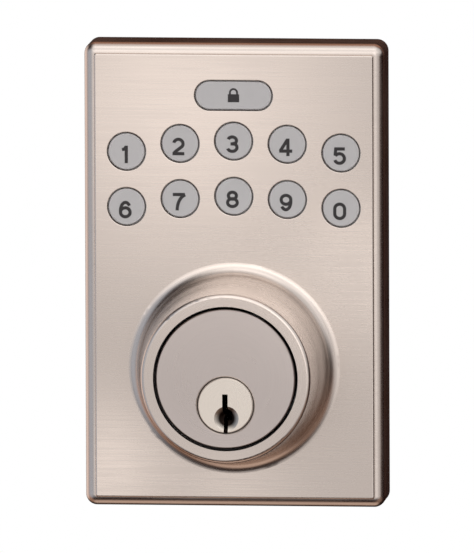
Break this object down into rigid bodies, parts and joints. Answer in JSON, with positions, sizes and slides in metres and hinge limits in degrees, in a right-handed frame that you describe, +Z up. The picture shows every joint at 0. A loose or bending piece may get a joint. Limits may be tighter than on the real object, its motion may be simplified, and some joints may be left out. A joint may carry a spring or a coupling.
{
  "type": "keypad deadbolt lock, outside half",
  "caption": "Outside half of an electronic deadbolt: rectangular satin metal case, arched rows of round number keys, an oval key, and a flared round boss round a key cylinder.",
  "frame": {"origin": "centre of the door's cross bore on the outside face of the door, which is also the key plug's axis", "axes": "+Z up, -Y out of the door towards the user, +X to the user's right"},
  "size_m": [0.0794, 0.091, 0.123],
  "materials": {
    "satin_nickel": "satin nickel plated die casting, finely brushed",
    "cylinder_nickel": "satin nickel plated cylinder, fine circular lay",
    "key_plastic": "translucent grey-white moulded plastic with dark printed digits",
    "guide_plastic": "milky moulded plastic",
    "silicone": "matt silicone rubber",
    "board": "green solder resist on glass-epoxy board",
    "led": "white lamp body with clear lens",
    "chip": "black moulded package",
    "buzzer_plastic": "black moulded can",
    "header_plastic": "natural nylon housing",
    "tin": "tin-plated pins",
    "zinc_steel": "zinc-plated pressed steel",
    "screw_steel": "bright zinc-plated steel screws",
    "rubber": "black rubber",
    "foam": "black closed-cell foam",
    "brass": "turned brass",
    "spring_steel": "spring steel",
    "hard_steel": "hardened steel, oiled black-grey"
  },
  "bodies": {
    "lock": {"escutcheon": "satin_nickel", "light_guide": "guide_plastic", "keypad_membrane": "silicone", "circuit_board": "board", "backlight_leds": "led", "board_chips": "chip", "buzzer": "buzzer_plastic", "cable_header": "header_plastic", "header_pins": "tin", "board_screws": "screw_steel", "back_plate": "zinc_steel", "cable_grommet": "rubber", "gasket": "foam", "case_screws": "screw_steel", "cylinder_body": "cylinder_nickel", "driver_pins": "brass", "pin_springs": "spring_steel", "pin_cover": "brass", "guard_sleeve": "hard_steel", "mounting_posts": "zinc_steel", "cylinder_screws": "screw_steel"},
    "turning_plug": {"plug": "cylinder_nickel", "key_pins": "brass", "plug_clip": "spring_steel", "torque_blade": "zinc_steel", "tail_screws": "screw_steel"},
    "key_1_cap": {"key_1": "key_plastic"},
    "key_2_cap": {"key_2": "key_plastic"},
    "key_3_cap": {"key_3": "key_plastic"},
    "key_4_cap": {"key_4": "key_plastic"},
    "key_5_cap": {"key_5": "key_plastic"},
    "key_6_cap": {"key_6": "key_plastic"},
    "key_7_cap": {"key_7": "key_plastic"},
    "key_8_cap": {"key_8": "key_plastic"},
    "key_9_cap": {"key_9": "key_plastic"},
    "key_0_cap": {"key_0": "key_plastic"},
    "lock_key_cap": {"lock_key": "key_plastic"}
  },
  "joints": [
    {"name": "plug_turn", "type": "hinge", "parent": "lock", "child": "turning_plug", "pos_m": [0, -0.02, 0], "axis": [0, 1, 0], "range_deg": [-90, 90]},
    {"name": "key_1_press", "type": "slide", "parent": "lock", "child": "key_1_cap", "axis": [0, 1, 0], "range_m": [0, 0.0009], "stiffness_N_per_m": 300, "springref_m": -0.0006, "deforming": ["keypad_membrane"]},
    {"name": "key_2_press", "type": "slide", "parent": "lock", "child": "key_2_cap", "axis": [0, 1, 0], "range_m": [0, 0.0009], "stiffness_N_per_m": 300, "springref_m": -0.0006, "deforming": ["keypad_membrane"]},
    {"name": "key_3_press", "type": "slide", "parent": "lock", "child": "key_3_cap", "axis": [0, 1, 0], "range_m": [0, 0.0009], "stiffness_N_per_m": 300, "springref_m": -0.0006, "deforming": ["keypad_membrane"]},
    {"name": "key_4_press", "type": "slide", "parent": "lock", "child": "key_4_cap", "axis": [0, 1, 0], "range_m": [0, 0.0009], "stiffness_N_per_m": 300, "springref_m": -0.0006, "deforming": ["keypad_membrane"]},
    {"name": "key_5_press", "type": "slide", "parent": "lock", "child": "key_5_cap", "axis": [0, 1, 0], "range_m": [0, 0.0009], "stiffness_N_per_m": 300, "springref_m": -0.0006, "deforming": ["keypad_membrane"]},
    {"name": "key_6_press", "type": "slide", "parent": "lock", "child": "key_6_cap", "axis": [0, 1, 0], "range_m": [0, 0.0009], "stiffness_N_per_m": 300, "springref_m": -0.0006, "deforming": ["keypad_membrane"]},
    {"name": "key_7_press", "type": "slide", "parent": "lock", "child": "key_7_cap", "axis": [0, 1, 0], "range_m": [0, 0.0009], "stiffness_N_per_m": 300, "springref_m": -0.0006, "deforming": ["keypad_membrane"]},
    {"name": "key_8_press", "type": "slide", "parent": "lock", "child": "key_8_cap", "axis": [0, 1, 0], "range_m": [0, 0.0009], "stiffness_N_per_m": 300, "springref_m": -0.0006, "deforming": ["keypad_membrane"]},
    {"name": "key_9_press", "type": "slide", "parent": "lock", "child": "key_9_cap", "axis": [0, 1, 0], "range_m": [0, 0.0009], "stiffness_N_per_m": 300, "springref_m": -0.0006, "deforming": ["keypad_membrane"]},
    {"name": "key_0_press", "type": "slide", "parent": "lock", "child": "key_0_cap", "axis": [0, 1, 0], "range_m": [0, 0.0009], "stiffness_N_per_m": 300, "springref_m": -0.0006, "deforming": ["keypad_membrane"]},
    {"name": "lock_key_press", "type": "slide", "parent": "lock", "child": "lock_key_cap", "axis": [0, 1, 0], "range_m": [0, 0.0009], "stiffness_N_per_m": 300, "springref_m": -0.0006, "deforming": ["keypad_membrane"]}
  ]
}
